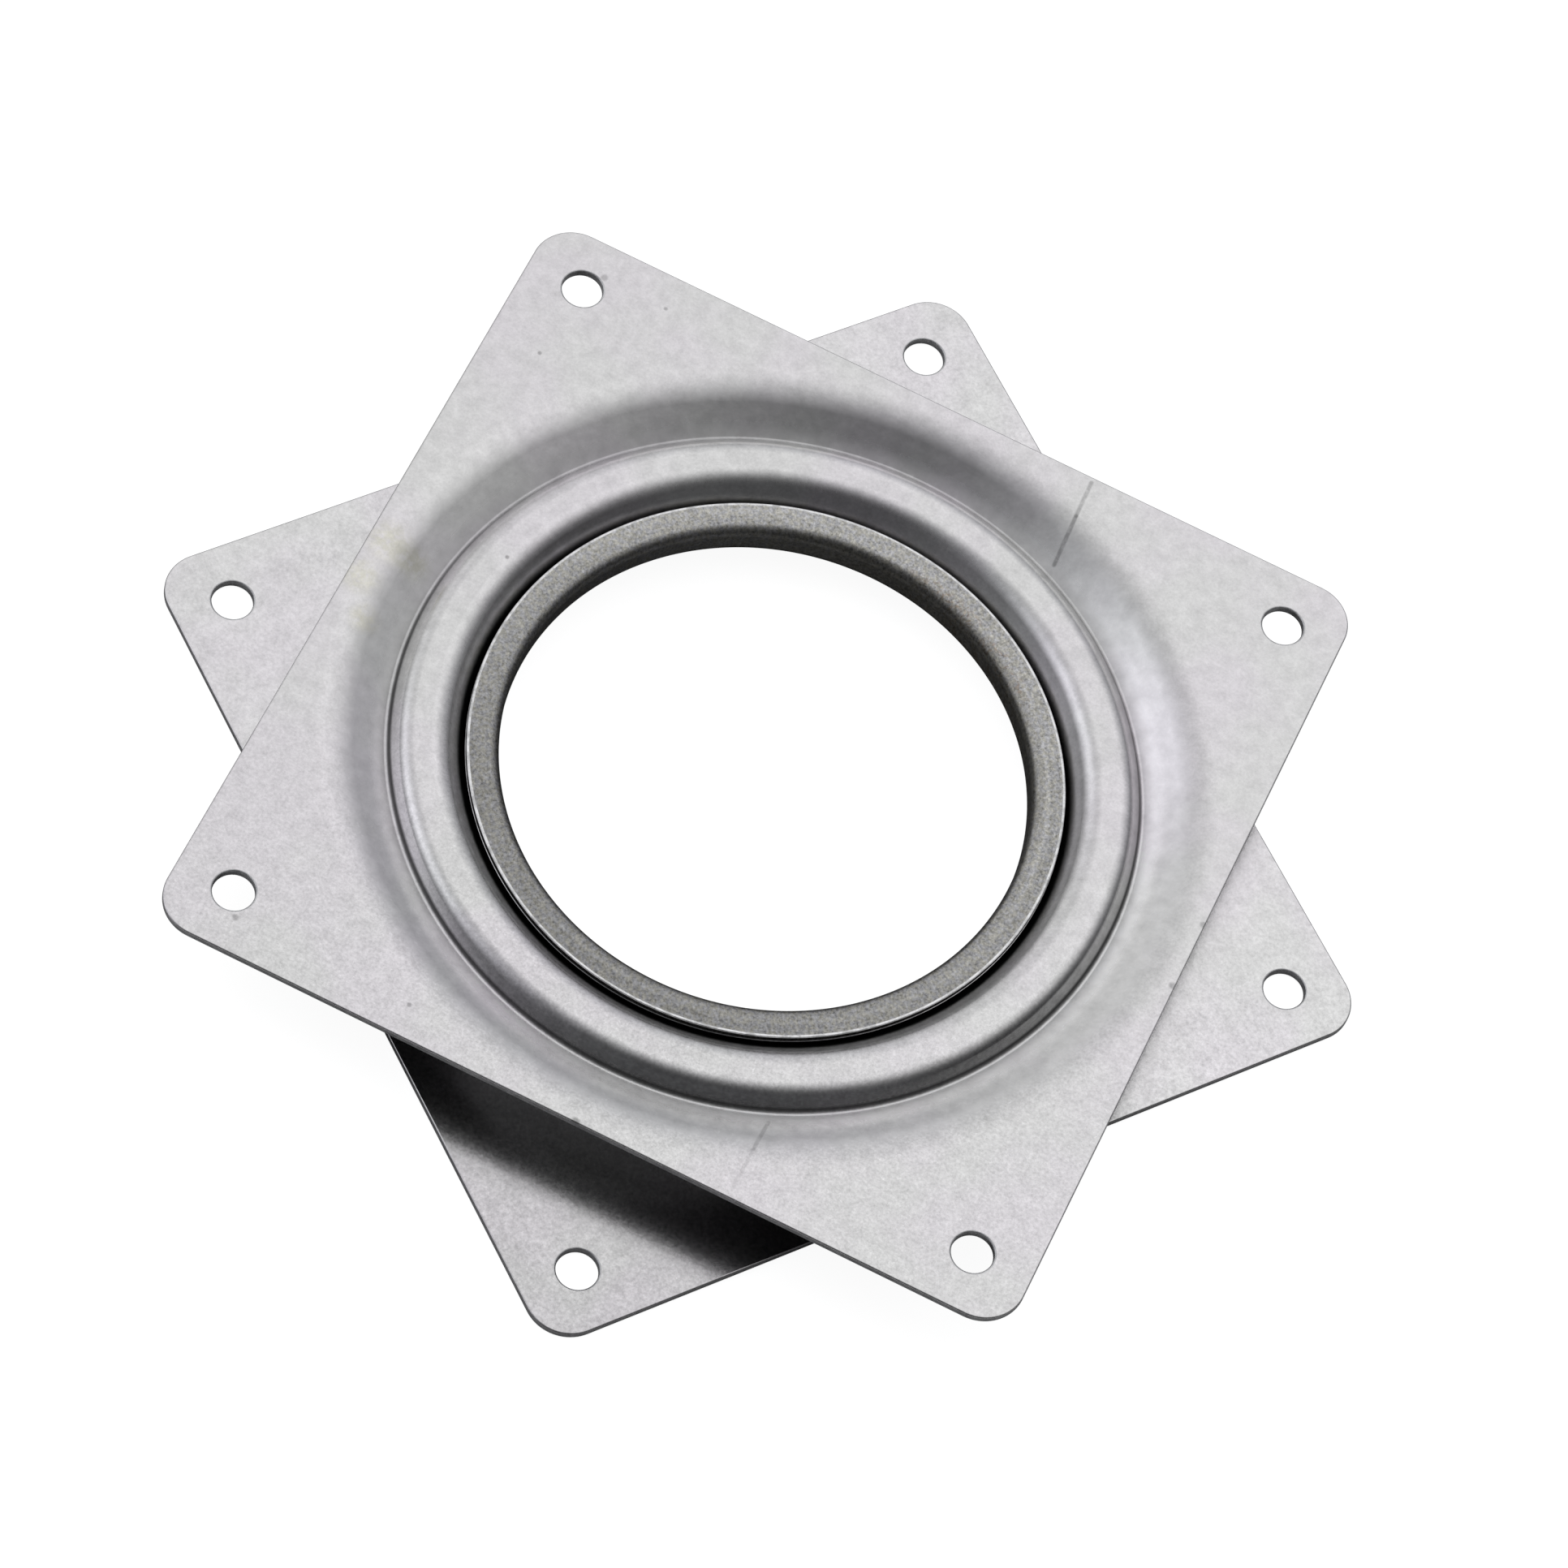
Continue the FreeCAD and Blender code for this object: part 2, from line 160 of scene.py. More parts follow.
def neck_and_lip():
    """The bottom plate's neck, its lip and the lip's tip, drawn like the rest with the rim's face on top."""
    place = THROAT + NECK_FOLD
    web_fold, lip_fold = (place, WEB_FACE - NECK_FOLD), (place, LIP_FACE + NECK_FOLD)
    points = arc(web_fold, NECK_FOLD, 90, 180, 14, 1, CURLED)
    points += arc(lip_fold, NECK_FOLD, 180, 270, 16, 1, CURLED)
    points.append((LIP_TIP - RUBBED_BAND, LIP_FACE, 0.0, -1.0, RUBBED))
    face = LIP_TIP - TIP_STEP
    tip = arc((face - TIP_ROUND, LIP_FACE + TIP_ROUND), TIP_ROUND, 270, 360, 5, 1, RUBBED)
    points += repaint_last(tip, CURLED)
    back = LIP_FACE + SHEET
    points.append((face, back - BURR_START, 1.0, 0.0, CURLED))
    points.append((face + HAIR, back - BURR_START + HAIR, 0.6, -0.8, RUBBED))
    points.append((LIP_TIP - HAIR, back - BURR_END, 0.6, -0.8, CURLED))
    tip_back = (LIP_TIP - TIP_BACK_ROUND, back - TIP_BACK_ROUND)
    points += arc(tip_back, TIP_BACK_ROUND, 0, 90, 4, 1, CURLED)
    points += arc(lip_fold, NECK_FOLD - SHEET, 270, 180, 8, -1, CURLED)
    points += arc(web_fold, NECK_FOLD - SHEET, 180, 90, 8, -1)
    return points


def rim_outline():
    """The plate's rounded square, run round to the left, as points and outward directions."""
    place = SIDE/2 - CORNER
    loop = []
    for k in range(4):
        quarter = math.radians(90*k)
        c, s = math.cos(quarter), math.sin(quarter)
        base = (place*c - place*s, place*s + place*c)
        for i in range(CORNER_STEPS + 1):
            a = quarter + math.radians(90)*i/CORNER_STEPS
            out = (math.cos(a), math.sin(a))
            loop.append((base[0] + CORNER*out[0], base[1] + CORNER*out[1], out[0], out[1]))
        last = loop[-1]
        along = (-last[3], last[2])
        for i in range(1, SIDE_STEPS):
            step = 2*place*i/SIDE_STEPS
            loop.append((last[0] + step*along[0], last[1] + step*along[1], last[2], last[3]))
    return loop


def hole_outline(middle):
    """A screw hole, run round to the right, with directions that point into the hole."""
    loop = []
    for i in range(HOLE_STEPS):
        a = -2*math.pi*i/HOLE_STEPS
        out = (math.cos(a), math.sin(a))
        loop.append((middle[0] + HOLE_RADIUS*out[0], middle[1] + HOLE_RADIUS*out[1], -out[0], -out[1]))
    return loop


class Shell:
    """A closed skin whose every point has its own exact normal."""

    def __init__(self):
        self.points = []
        self.normals = []
        self.faces = []
        self.paints = []

    def add(self, point, normal):
        self.points.append(point)
        self.normals.append(normal)
        return len(self.points) - 1

    def strip(self, upper, lower, paint, leftward):
        """Four-sided faces between two closed rows of points."""
        count = len(upper)
        for j in range(count):
            k = (j + 1) % count
            face = (upper[j], lower[j], lower[k], upper[k])
            self.faces.append(face if leftward else face[::-1])
            self.paints.append(paint)

    def revolve(self, section):
        """The turned part of the plate. Returns its first and last rows."""
        rows = []
        for r, z, nr, nz, paint in section:
            row = []
            for j in range(AROUND):
                a = 2*math.pi*j/AROUND
                c, s = math.cos(a), math.sin(a)
                row.append(self.add((r*c, r*s, z), (nr*c, nr*s, nz)))
            rows.append(row)
        for i in range(len(rows) - 1):
            self.strip(rows[i], rows[i + 1], section[i][4], False)
        return rows[0], rows[-1]

    def edge(self, loop, upper_roll, lower_roll):
        """The sheared edge along a loop, rounded at both faces. Returns its first and last rows."""
        profile = arc((-upper_roll, HEIGHT - upper_roll), upper_roll, 90, 0, EDGE_STEPS, 1)
        profile += arc((-lower_roll, HEIGHT - SHEET + lower_roll), lower_roll, 0, -90, EDGE_STEPS, 1)
        rows = []
        for d, z, nd, nz, _ in profile:
            rows.append([self.add((x + d*ox, y + d*oy, z), (nd*ox, nd*oy, nz)) for x, y, ox, oy in loop])
        for i in range(len(rows) - 1):
            # the zinc runs over the outline's larger rounding
            rolled = (upper_roll == ROLL and i < EDGE_STEPS) or (lower_roll == ROLL and i > EDGE_STEPS)
            self.strip(rows[i], rows[i + 1], ZINC if rolled else CUT, True)
        return rows[0], rows[-1]

    def flat(self, rim, loops, up):
        """One face of the flat rim, between the turned part and the loops."""
        ids = []
        owners = []
        edges = []
        for number, row in enumerate([rim] + loops):
            start = len(ids)
            ids += row
            owners += [number]*len(row)
            edges += [(start + i, start + (i + 1) % len(row)) for i in range(len(row))]
        spots = [Vector(self.points[i][:2]) for i in ids]
        found, _, triangles, _, _, _ = delaunay_2d_cdt(spots, edges, [], 0, 1e-7)
        if len(found) != len(spots):
            raise RuntimeError("the flat rim's loops touch")
        for triangle in triangles:
            # a triangle that touches one loop only fills an opening, unless the loop is the outline
            touched = {owners[i] for i in triangle}
            if len(touched) == 1 and touched != {OUTLINE}:
                continue
            a, b, c = (spots[i] for i in triangle)
            turn = (b - a).cross(c - a)
            if abs(turn) < 1e-9:
                continue
            face = tuple(ids[i] for i in triangle)
            self.faces.append(face if (turn > 0) == up else face[::-1])
            self.paints.append(ZINC)

    def make(self, name, matrix, materials):
        """The skin as an object. A matrix that mirrors also turns the faces round."""
        mirrored = matrix.determinant() < 0
        points = [matrix @ Vector(p)*MM for p in self.points]
        turn = matrix.to_3x3()
        normals = [(turn @ Vector(n)).normalized() for n in self.normals]
        faces = [f[::-1] for f in self.faces] if mirrored else self.faces
        mesh = bpy.data.meshes.new(name)
        mesh.from_pydata(points, [], faces)
        for material in materials:
            mesh.materials.append(material)
        mesh.polygons.foreach_set("material_index", self.paints)
        mesh.polygons.foreach_set("use_smooth", [True]*len(faces))
        mesh.normals_split_custom_set_from_vertices(normals)
        mesh.update()
        piece = bpy.data.objects.new(name, mesh)
        bpy.context.scene.collection.objects.link(piece)
        return piece


def pressing(name, with_neck, matrix, materials):
    """One of the two plates."""
    shell = Shell()
    first, last = shell.revolve(pressed_section(with_neck))
    rolls = (BURR, ROLL) if with_neck else (ROLL, BURR)
    hole_rolls = (HOLE_BURR, HOLE_ROLL) if with_neck else (HOLE_ROLL, HOLE_BURR)
    edges = [shell.edge(rim_outline(), *rolls)]
    for x in (-HOLE_PLACE, HOLE_PLACE):
        for y in (-HOLE_PLACE, HOLE_PLACE):
            edges.append(shell.edge(hole_outline((x, y)), *hole_rolls))
    shell.flat(first, [e[0] for e in edges], True)
    shell.flat(last, [e[1] for e in edges], False)
    return shell.make(name, matrix, materials)


class Paint:
    """A material's or a world's node tree, with short ways to add its nodes."""

    def __init__(self, tree):
        self.tree = tree
        self.tree.nodes.clear()

    def put(self, socket, value):
        if isinstance(value, bpy.types.NodeSocket):
            self.tree.links.new(value, socket)
        else:
            socket.default_value = value

    def node(self, kind, **settings):
        node = self.tree.nodes.new(kind)
        for key, value in settings.items():
            setattr(node, key, value)
        return node

    def math(self, operation, a, b=0.0, c=0.0, clamp=False):
        node = self.node("ShaderNodeMath", operation=operation, use_clamp=clamp)
        for socket, value in zip(node.inputs, (a, b, c)):
            self.put(socket, value)
        return node.outputs[0]

    def vector(self, operation, a, b=(0.0, 0.0, 0.0), scale=1.0):
        node = self.node("ShaderNodeVectorMath", operation=operation)
        self.put(node.inputs[0], a)
        self.put(node.inputs[1], b)
        if operation == "SCALE":
            self.put(node.inputs["Scale"], scale)
        is_number = operation in ("DOT_PRODUCT", "LENGTH", "DISTANCE")
        return node.outputs["Value"] if is_number else node.outputs[0]

    def toward(self, where, angle):
        """How far a place lies towards an angle in degrees."""
        return self.vector("DOT_PRODUCT", where, heading(angle))

    def place(self, turn=0.0):
        """The place on the piece in millimetres, turned back by an angle in degrees."""
        coords = self.node("ShaderNodeTexCoord")
        mapping = self.node("ShaderNodeMapping")
        self.put(mapping.inputs["Vector"], coords.outputs["Object"])
        self.put(mapping.inputs["Scale"], (1000, 1000, 1000))
        self.put(mapping.inputs["Rotation"], (0, 0, -math.radians(turn)))
        return mapping.outputs[0]

    def split(self, vector):
        node = self.node("ShaderNodeSeparateXYZ")
        self.put(node.inputs[0], vector)
        return node.outputs

    def join(self, x, y, z):
        node = self.node("ShaderNodeCombineXYZ")
        for socket, value in zip(node.inputs, (x, y, z)):
            self.put(socket, value)
        return node.outputs[0]

    def off_line(self, spot, start, end):
        """How far a spot is from a straight line between two places in the sheet's plane."""
        along = Vector(end + (0.0,)) - Vector(start + (0.0,))
        offset = self.vector("SUBTRACT", spot, start + (0.0,))
        share = self.vector("DOT_PRODUCT", offset, tuple(along))
        share = self.math("MULTIPLY", share, 1/along.length_squared, clamp=True)
        return self.vector("DISTANCE", offset, self.vector("SCALE", tuple(along), scale=share))

    def off_spot(self, spot, middle):
        return self.vector("DISTANCE", spot, middle + (0.0,))

    def noise(self, where, scale, detail=2.0, rough=0.5, distortion=0.0):
        node = self.node("ShaderNodeTexNoise")
        self.put(node.inputs["Vector"], where)
        self.put(node.inputs["Scale"], scale)
        self.put(node.inputs["Detail"], detail)
        self.put(node.inputs["Roughness"], rough)
        self.put(node.inputs["Distortion"], distortion)
        return node.outputs[0]

    def ramp(self, value, low, high, to_low=0.0, to_high=1.0):
        """A value's smooth step from one level to another."""
        node = self.node("ShaderNodeMapRange", interpolation_type="SMOOTHSTEP")
        for socket, number in zip(node.inputs, (value, low, high, to_low, to_high)):
            self.put(socket, number)
        return node.outputs[0]

    def mix(self, factor, a, b):
        node = self.node("ShaderNodeMix", data_type="RGBA")
        self.put(node.inputs["Factor"], factor)
        self.put(node.inputs[6], a)
        self.put(node.inputs[7], b)
        return node.outputs[2]

    def shade(self, colour, amount):
        """A colour made lighter or darker by a factor."""
        node = self.node("ShaderNodeMix", data_type="RGBA", blend_type="MULTIPLY")
        self.put(node.inputs["Factor"], 1.0)
        self.put(node.inputs[6], colour)
        self.put(node.inputs[7], self.join(amount, amount, amount))
        return node.outputs[2]

    def bump(self, height, strength, distance, below=None):
        node = self.node("ShaderNodeBump")
        self.put(node.inputs["Height"], height)
        self.put(node.inputs["Strength"], strength)
        self.put(node.inputs["Distance"], distance)
        if below is not None:
            self.put(node.inputs["Normal"], below)
        return node.outputs[0]

    def metal(self, colour, roughness, normal, edge_tint=1.0):
        shader = self.node("ShaderNodeBsdfPrincipled")
        self.put(shader.inputs["Metallic"], 1.0)
        self.put(shader.inputs["Specular Tint"], (edge_tint, edge_tint, edge_tint, 1))
        self.put(shader.inputs["Base Color"], colour)
        self.put(shader.inputs["Roughness"], roughness)
        self.put(shader.inputs["Normal"], normal)
        output = self.node("ShaderNodeOutputMaterial")
        self.tree.links.new(shader.outputs[0], output.inputs[0])


def material(name):
    made = bpy.data.materials.new(name)
    made.use_nodes = True
    return made, Paint(made.node_tree)


# the upper plate's wear in its own frame: scratches, as two ends, half width and depth of tone; spots, as a
# middle, radius and depth of tone; and smudges, as a middle, radius and tone
SCRATCHES = (((17.10, 49.3), (17.28, 44.5), 0.34, 0.34), ((17.28, 44.5), (17.50, 38.9), 0.34, 0.44),
             ((17.5, 38.0), (17.55, 35.5), 0.40, 0.08), ((17.87, -38.9), (17.88, -43.5), 0.32, 0.26),
             ((17.88, -43.5), (17.86, -48.9), 0.30, 0.14))
SPOTS = (((0.05, -49.9), 0.55, 0.45), ((49.8, 4.4), 0.45, 0.35), ((49.7, -4.05), 0.45, 0.35),
         ((-21.1, -46.2), 0.30, 0.40), ((-35.7, 8.3), 0.28, 0.45), ((-34.0, 45.6), 0.25, 0.35),
         ((-43.75, 33.2), 0.28, 0.40), ((-41.65, -45.95), 0.40, 0.35), ((-41.7, 45.8), 0.45, 0.30))
SMUDGES = (((-48.4, -2.2), 3.0, 0.97), ((-47.6, 3.2), 3.6, 0.95), ((-44.6, 2.8), 2.8, 0.84),
           ((-45.9, -6.5), 2.4, 0.97))


def wear(p, flat, ragged, level, colour):
    """The upper plate's scratches, dark spots and yellowish smudges."""
    for start, end, half_width, depth in SCRATCHES:
        off = p.off_line(flat, start, end)
        line = p.ramp(off, 0.3*half_width, half_width, depth, 0.0)
        line = p.math("MULTIPLY", line, p.ramp(ragged, 0.30, 0.55, 0.45, 1.0))
        level = p.math("MULTIPLY", level, p.math("SUBTRACT", 1.0, line))
    for middle, reach, depth in SPOTS:
        off = p.math("MULTIPLY_ADD", ragged, -0.5*reach, p.off_spot(flat, middle))
        level = p.math("MULTIPLY", level, p.ramp(off, 0.2*reach, reach, 1.0 - depth, 1.0))
    for middle, reach, tone in SMUDGES:
        tint = p.ramp(p.off_spot(flat, middle), 0.2*reach, reach)
        tint = p.math("MULTIPLY", p.math("SUBTRACT", 1.0, tint), p.ramp(ragged, 0.30, 0.60, 0.2, 0.9))
        colour = p.mix(tint, colour, (0.725*tone, 0.710*tone, 0.630*tone, 1))
    return level, colour


# where the painted band of light and the painted shade on the wall are strongest, in degrees from the coarse
# side
PAINTED_LIGHT_OFF = 30
PAINTED_SHADE_OFF = 88
# the way to the lower plate's corner that carries painted shade
PAINTED_SHADE_SIDE = -50


def crease_painted_light(p, here, radius, along_way, coarse_side, level):
    """Painted shade in the crease, a painted pale band of light outside it and painted shade on the wall
    inside it, each stronger on one side.

    The band and the wall were set from the photograph's one view.
    """
    off_crease = p.math("ABSOLUTE", p.math("SUBTRACT", radius, CREASE))
    # painted shade darkens the crease, more on the coarse side
    crease_shade = p.ramp(off_crease, 0.05, 0.34, p.ramp(along_way, -38.0, 5.0, 1.0, 0.20), 1.0)
    level = p.math("MULTIPLY", level, crease_shade)
    # a painted band of light outside the crease, strongest on one side and a little darker on the other
    pale = p.ramp(p.toward(here, coarse_side + PAINTED_LIGHT_OFF), -42.0, 30.0, -0.05, 0.36)
    pale = p.math("MULTIPLY", pale, p.ramp(radius, 44.2, 42.2))
    pale = p.math("MULTIPLY", pale, p.ramp(radius, 41.2, 41.5))
    level = p.math("MULTIPLY", level, p.math("ADD", pale, 1.0))
    inside = p.math("LESS_THAN", radius, CREASE)
    # painted shade on the wall inside the crease, strongest on one side, and all round close to the crease
    dim = p.ramp(p.toward(here, coarse_side + PAINTED_SHADE_OFF), 20.0, 41.0, 0.0, -0.34)
    dim = p.math("MULTIPLY", dim, p.ramp(radius, 39.4, 40.0))
    dim = p.math("ADD", dim, p.ramp(radius, 40.0, 41.1, 0.0, -0.25))
    return p.math("MULTIPLY", level, p.math("MULTIPLY_ADD", inside, dim, 1.0))


def zinc_steel(name, turn, seed, upper_plate, coarse_side):
    """Zinc-plated sheet: satin, with fine grain, pale flecks, soft clouds and a faint violet or green cast.

    The grain is coarser towards the coarse side, an angle in degrees in the plate's own frame.
    """
    made, p = material(name)
    here = p.place(turn)
    x, y, z = p.split(here)
    radius = p.vector("LENGTH", p.join(x, y, 0.0))
    at = p.vector("ADD", here, (seed, 2*seed, 0))
    grain = p.noise(at, 2.6, 3, 0.7)
    mottle = p.noise(at, 0.6, 3, 0.6)
    cloud = p.noise(at, 0.07, 2, 0.5)
    flecks = p.ramp(p.noise(at, 2.2, 4, 0.7, 1.2), 0.58, 0.72)
    along_way = p.toward(here, coarse_side)
    coarse = p.ramp(along_way, -5.0, 40.0)
    cast = p.mix(p.ramp(cloud, 0.35, 0.65), (0.737, 0.714, 0.738, 1), (0.720, 0.718, 0.714, 1))
    fine = p.math("SUBTRACT", grain, 0.5)
    in_dish = p.math("MULTIPLY", p.ramp(radius, 41.0, 42.0), p.ramp(radius, 47.5, 45.5))
    strength = p.math("MULTIPLY_ADD", coarse, 0.45, 0.42 if upper_plate else 0.62)
    strength = p.math("MULTIPLY", strength, p.math("MULTIPLY_ADD", in_dish, -0.75, 1.0))
    level = p.math("MULTIPLY_ADD", fine, strength, 1.0)
    level = p.math("MULTIPLY_ADD", p.math("SUBTRACT", mottle, 0.5), 0.42, level)
    level = p.math("MULTIPLY_ADD", flecks, p.math("MULTIPLY_ADD", coarse, 0.14, 0.06), level)
    level = crease_painted_light(p, here, radius, along_way, coarse_side, level)
    if upper_plate:
        # painted shade darkens the gap beside the lip
        level = p.math("MULTIPLY", level, p.ramp(radius, 33.4, 34.1, 0.08, 1.0))
        ragged = p.noise(at, 1.1, 3, 0.65)
        level, cast = wear(p, p.join(x, y, 0.0), ragged, level, cast)
        # painted shade: the face turned down is darker, standing in for the shade between the plates
        facing = p.split(p.node("ShaderNodeTexCoord").outputs["Normal"])[2]
        level = p.math("MULTIPLY", level, p.ramp(facing, -0.3, 0.0, 0.4, 1.0))
    else:
        # painted shade: the lower plate is darker towards one corner and a little lighter away from it
        shaded_corner = p.toward(here, PAINTED_SHADE_SIDE)
        level = p.math("MULTIPLY", level, p.ramp(shaded_corner, 34.0, 54.0, 1.04, 0.88))
    colour = p.shade(cast, level)
    rough = p.math("MULTIPLY_ADD", grain, 0.08, 0.18)
    # the bends were stretched, and are rougher
    bend = p.math("MULTIPLY", p.ramp(radius, 43.8, 41.3, 0.0, 0.34), p.ramp(radius, 40.8, 41.2))
    rough = p.math("ADD", rough, bend)
    rough = p.math("ADD", rough, p.ramp(radius, 35.8, 34.4, 0.0, 0.12))
    normal = p.bump(mottle, 0.12, 0.00008)
    normal = p.bump(grain, 0.12, 0.00002, normal)
    p.metal(colour, rough, normal)
    return made


def sheared_steel(name):
    """The cut edges: duller, with the fine upright lines that a die leaves."""
    made, p = material(name)
    at = p.place()
    x, y, z = p.split(at)
    lines = p.noise(p.join(x, y, p.math("MULTIPLY", z, 0.15)), 6.0, 2, 0.6)
    broken = p.ramp(p.noise(at, 0.7, 3, 0.7), 0.40, 0.62)
    colour = p.mix(lines, (0.58, 0.58, 0.59, 1), (0.88, 0.88, 0.89, 1))
    colour = p.mix(p.math("MULTIPLY", broken, 0.45), colour, (0.34, 0.34, 0.35, 1))
    rough = p.math("MULTIPLY_ADD", lines, 0.2, 0.32)
    normal = p.bump(lines, 0.25, 0.00003)
    p.metal(colour, rough, normal)
    return made


def curled_steel(name):
    """The neck and lip: darker and rough from the forming tool, streaked across, with brown stains."""
    made, p = material(name)
    at = p.place()
    x, y, z = p.split(at)
    radius = p.vector("LENGTH", p.join(x, y, 0.0))
    across = p.join(p.math("DIVIDE", x, radius), p.math("DIVIDE", y, radius), 0.0)
    along = p.join(0.0, 0.0, p.math("MULTIPLY_ADD", z, 0.3, p.math("MULTIPLY", radius, 0.4)))
    streaks = p.noise(p.vector("ADD", p.vector("SCALE", across, scale=60.0), along), 1.3, 3, 0.7)
    grain = p.noise(at, 3.0, 3, 0.8)
    level = p.math("MULTIPLY_ADD", p.math("SUBTRACT", streaks, 0.5), 0.6, 1.0)
    level = p.math("MULTIPLY_ADD", p.math("SUBTRACT", grain, 0.5), 2.6, level)
    rings = p.noise(p.join(p.math("MULTIPLY", radius, 1.3), p.math("MULTIPLY", x, 0.02), 0.0), 1.0, 2, 0.6)
    level = p.math("MULTIPLY_ADD", p.math("SUBTRACT", rings, 0.5), 0.9, level)
    # the lip is paler on one side of the ring
    side = p.toward(across, 112)
    level = p.math("MULTIPLY", level, p.math("MULTIPLY_ADD", side, 0.19, 0.96))
    # painted shade darkens the neck's throat all round and more on one side, and that side has brown stains
    level = p.math("MULTIPLY", level, p.ramp(radius, 29.2, 29.8, 0.6, 1.0))
    spots = p.ramp(p.noise(at, 1.1, 4, 0.75, 0.8), 0.50, 0.62)
    stain_side = p.toward(across, 101)
    stain = p.math("MULTIPLY", spots, p.ramp(stain_side, 0.90, 0.985))
    stain = p.math("MULTIPLY", stain, p.ramp(radius, 31.6, 30.4))
    shadow = p.math("MULTIPLY", p.ramp(stain_side, 0.3, 0.9), p.ramp(radius, 30.6, 29.6))
    tinge = p.mix(p.ramp(p.noise(at, 1.7, 2, 0.6), 0.40, 0.60), (0.42, 0.42, 0.43, 1), (0.43, 0.42, 0.385, 1))
    colour = p.mix(p.math("MULTIPLY", stain, 0.8), tinge, (0.30, 0.235, 0.185, 1))
    colour = p.mix(p.math("MULTIPLY", shadow, 0.45), colour, (0.22, 0.21, 0.17, 1))
    colour = p.shade(colour, level)
    rough = p.math("MULTIPLY_ADD", grain, 0.12, 0.32)
    normal = p.bump(grain, 0.25, 0.00003)
    p.metal(colour, rough, normal, 0.35)
    return made


def rubbed_steel(name):
    """The lip's tip, rubbed bright, with gaps where it isn't."""
    made, p = material(name)
    at = p.place()
    worn = p.ramp(p.noise(at, 0.8, 3, 0.7), 0.32, 0.62)
    colour = p.mix(worn, (0.50, 0.50, 0.50, 1), (0.84, 0.84, 0.85, 1))
    fine = p.noise(at, 5.0, 2, 0.6)
    p.metal(colour, p.math("MULTIPLY_ADD", fine, 0.12, 0.12), p.bump(fine, 0.15, 0.00002))
    return made


def polished_balls(name):
    made, p = material(name)
    at = p.place()
    grain = p.noise(at, 1.5, 2, 0.5)
    colour = p.mix(grain, (0.74, 0.74, 0.75, 1), (0.80, 0.80, 0.81, 1))
    p.metal(colour, p.math("MULTIPLY_ADD", grain, 0.06, 0.08), p.bump(grain, 0.03, 0.00001))
    return made


def paper(name):
    """The white floor: what looks at it sees white, and what it lights gets plain pale paper."""
    made, p = material(name)
    sight = p.node("ShaderNodeLightPath")
    # close to the object the metal mirrors the floor darker than it is seen, a painted shadow, a look set
    # from the photograph
    lit = p.ramp(p.vector("LENGTH", p.place()), 50.0, 500.0)
    mirrored = p.math("MAXIMUM", sight.outputs["Is Glossy Ray"], sight.outputs["Is Transmission Ray"])
    mirrored = p.math("MULTIPLY", mirrored, lit)
    seen = p.math("MAXIMUM", sight.outputs["Is Camera Ray"], mirrored)
    matt = p.node("ShaderNodeBsdfDiffuse")
    grain = p.noise(p.place(), 0.8, 2, 0.6)
    p.put(matt.inputs["Color"], p.mix(grain, (0.36, 0.36, 0.36, 1), (0.38, 0.38, 0.38, 1)))
    glow = p.node("ShaderNodeEmission")
    p.put(glow.inputs["Strength"], p.math("MULTIPLY", seen, 0.93))
    both = p.node("ShaderNodeAddShader")
    p.put(both.inputs[0], matt.outputs[0])
    p.put(both.inputs[1], glow.outputs[0])
    output = p.node("ShaderNodeOutputMaterial")
    p.put(output.inputs[0], both.outputs[0])
    return made


turned = Matrix.Rotation(math.radians(REST_TURN), 4, "Z")
flipped = Matrix.Translation((0, 0, HEIGHT)) @ Matrix.Scale(-1, 4, (0, 0, 1))
cut = sheared_steel("sheared_edge")
curled = curled_steel("curled_lip")
rubbed = rubbed_steel("rubbed_tip")
lower_zinc = zinc_steel("zinc_lower", 0, 17.0, False, -35.0)
upper_zinc = zinc_steel("zinc_upper", REST_TURN, 3.0, True, -80.0)

lower = pressing("lower_pressing", True, flipped, [lower_zinc, cut, curled, rubbed])
upper = pressing("upper_pressing", False, turned, [upper_zinc, cut, curled, rubbed])
for piece, body, node in ((lower, "base", "bottom_plate"), (upper, "turntable", "top_plate")):
    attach(piece, body)
    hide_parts(node)

steel = polished_balls("ball_polish")
for name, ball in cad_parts.items():
    if name.startswith("ball_"):
        ball.material_slots[0].material = steel

VIEW_AZIMUTH = 46.437
VIEW_ELEVATION = 60.165
VIEW_ROLL = 19.058
VIEW_DISTANCE = 0.7521
LENS = 158.015
SENSOR = 36.0
NEUTRAL, COOL = (1.0, 1.0, 1.0), (0.98, 0.99, 1.035)
# soft lights in the sky: bearing clockwise from straight behind the object and height above the floor, both
# in degrees, then brightness, tightness and colour
LIGHTS = (
    (0, 60, 0.571, 8, NEUTRAL),
    (60, 60, 0.509, 8, NEUTRAL),
    (-60, 60, 0.071, 8, NEUTRAL),
    (0, 90, 0.133, 8, COOL),
    (-90, 40, 1.01, 12, COOL),
    (0, 20, 0.413, 8, COOL),
    (45, 20, 0.249, 8, COOL),
    (135, 20, 0.065, 8, COOL),
    (180, 20, 0.05, 8, COOL),
    (-135, 20, 0.10, 8, COOL),
    (-45, 20, 0.58, 8, NEUTRAL),
)
# the point of the floor that the camera looks at, in the camera's own level frame
VIEW_TARGET = (0.002312, 0.002824, 0)
FLOOR_REACH = 40.0
FLOOR_DROP = 0.0001


def aim(bearing, height):
    """A direction in the row frame from a bearing behind the object, as the camera sees it, and a height."""
    b, h = math.radians(bearing), math.radians(height)
    seen = Vector((math.sin(b)*math.cos(h), math.cos(b)*math.cos(h), math.sin(h)))
    return Matrix.Rotation(math.radians(VIEW_AZIMUTH), 3, "Z") @ seen


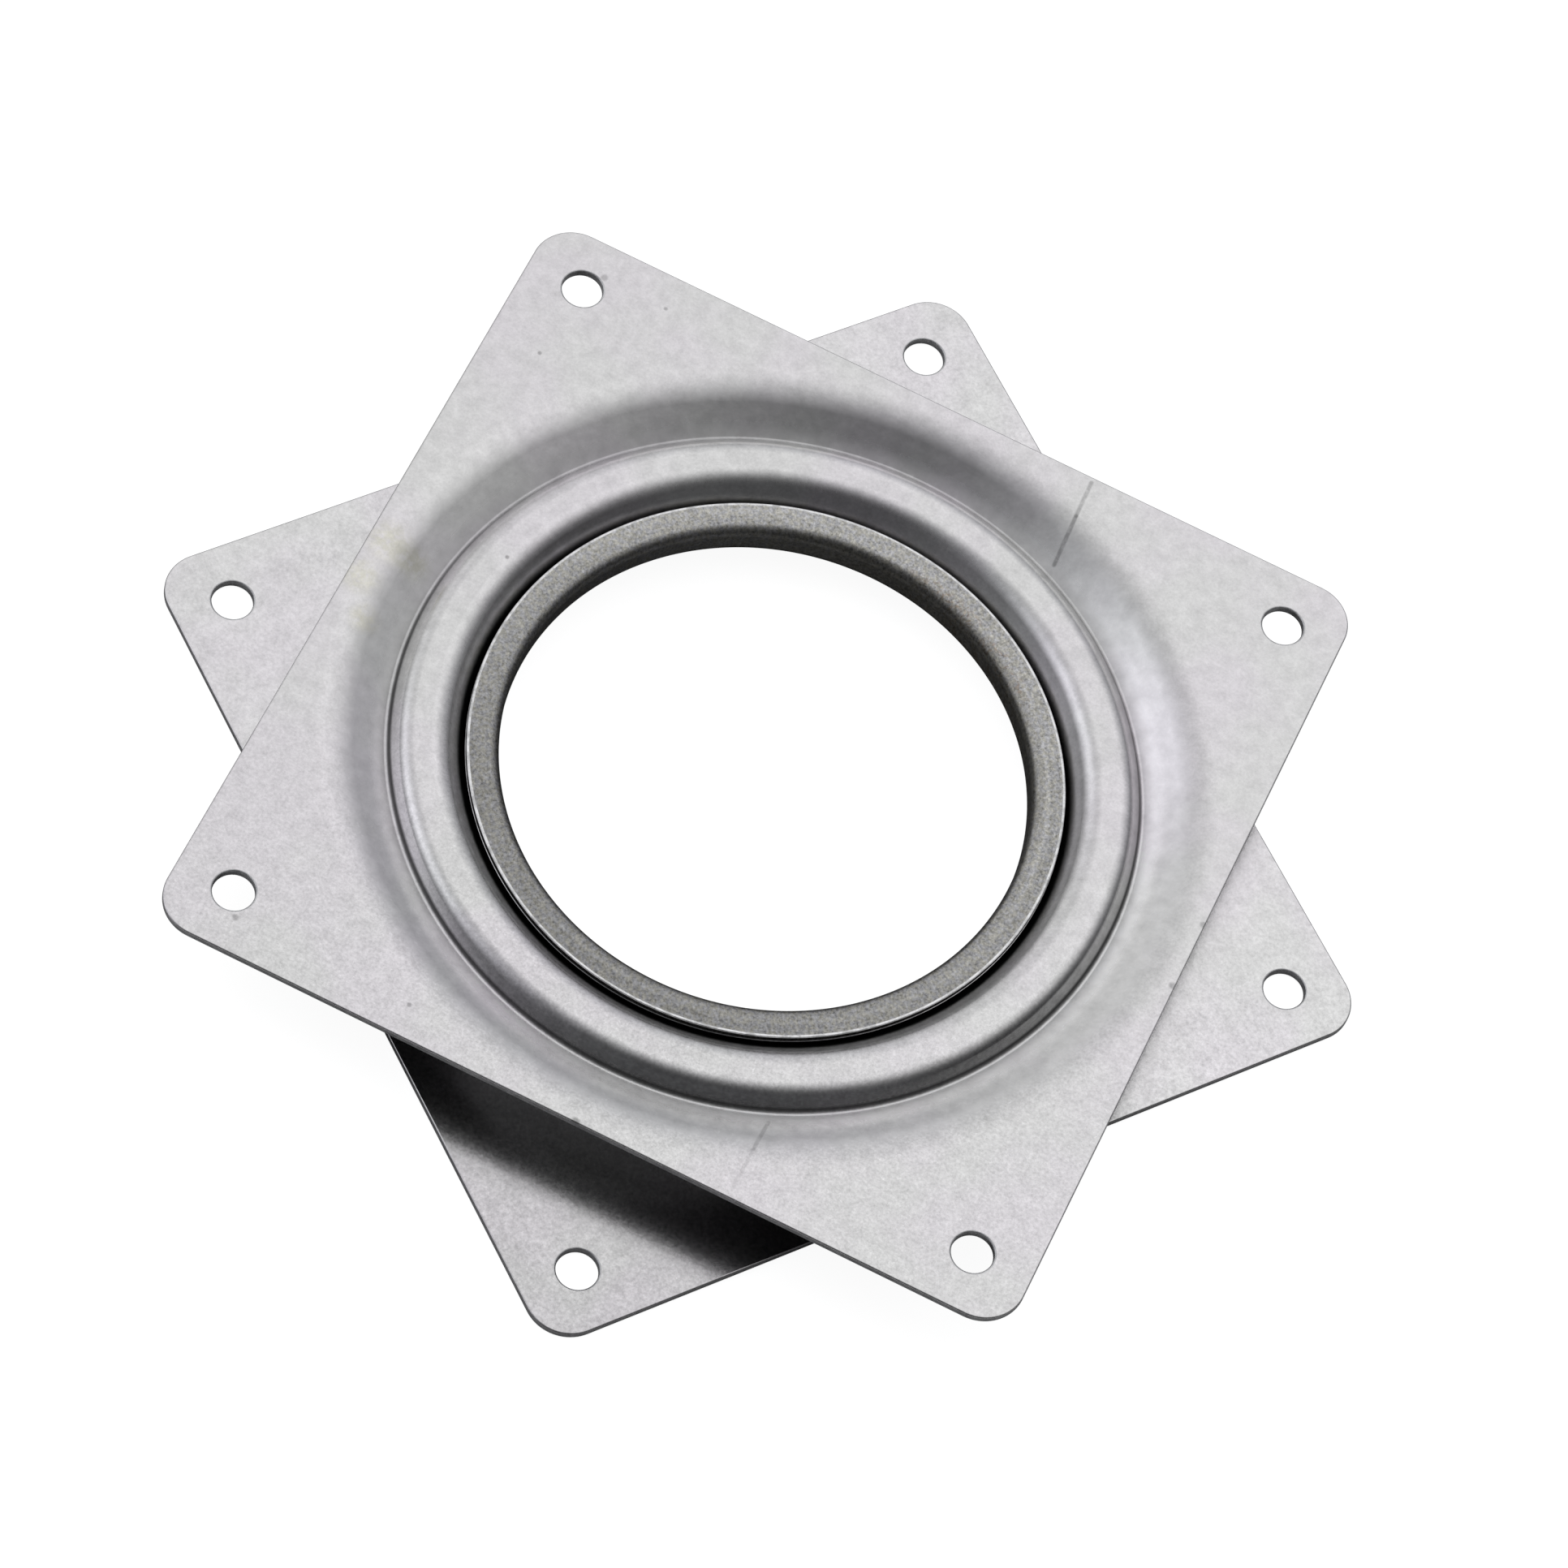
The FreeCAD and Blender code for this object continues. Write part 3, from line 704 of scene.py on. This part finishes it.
def studio_light():
    world = bpy.data.worlds.new("studio")
    bpy.context.scene.world = world
    world.use_nodes = True
    p = Paint(world.node_tree)
    coords = p.node("ShaderNodeTexCoord")
    total = (0.0, 0.0, 0.0)
    for bearing, height, bright, tight, tint in LIGHTS:
        near = p.vector("DOT_PRODUCT", coords.outputs["Generated"], tuple(aim(bearing, height)))
        lobe = p.math("EXPONENT", p.math("MULTIPLY_ADD", near, tight, -tight))
        lobe = p.math("MULTIPLY", lobe, bright)
        total = p.vector("ADD", total, p.vector("SCALE", tint, scale=lobe))
    back = p.node("ShaderNodeBackground")
    p.put(back.inputs["Strength"], 1.0)
    p.put(back.inputs["Color"], total)
    output = p.node("ShaderNodeOutputWorld")
    p.put(output.inputs[0], back.outputs[0])


def studio_floor():
    mesh = bpy.data.meshes.new("floor")
    corners = [(FLOOR_REACH*x, FLOOR_REACH*y, -FLOOR_DROP) for x, y in ((-1, -1), (1, -1), (1, 1), (-1, 1))]
    mesh.from_pydata(corners, [], [(0, 1, 2, 3)])
    mesh.materials.append(paper("white_paper"))
    floor = bpy.data.objects.new("floor", mesh)
    bpy.context.scene.collection.objects.link(floor)


def photo_camera():
    a, e, roll = (math.radians(v) for v in (VIEW_AZIMUTH, VIEW_ELEVATION, VIEW_ROLL))
    back = Vector((math.sin(a)*math.cos(e), -math.cos(a)*math.cos(e), math.sin(e)))
    target = Matrix.Rotation(a, 3, "Z") @ Vector(VIEW_TARGET)
    level = Vector((math.cos(a), math.sin(a), 0))
    upward = back.cross(level)
    right = level*math.cos(roll) + upward*math.sin(roll)
    data = bpy.data.cameras.new("camera")
    data.lens = LENS
    data.sensor_width = SENSOR
    data.sensor_fit = "HORIZONTAL"
    data.clip_start = 0.01
    data.clip_end = 100
    camera = bpy.data.objects.new("camera", data)
    bpy.context.scene.collection.objects.link(camera)
    turn = Matrix((right, back.cross(right), back)).transposed()
    camera.matrix_world = Matrix.Translation(target + back*VIEW_DISTANCE) @ turn.to_4x4()
    bpy.context.scene.camera = camera


studio_light()
studio_floor()
photo_camera()
bpy.context.scene.view_settings.view_transform = "Standard"
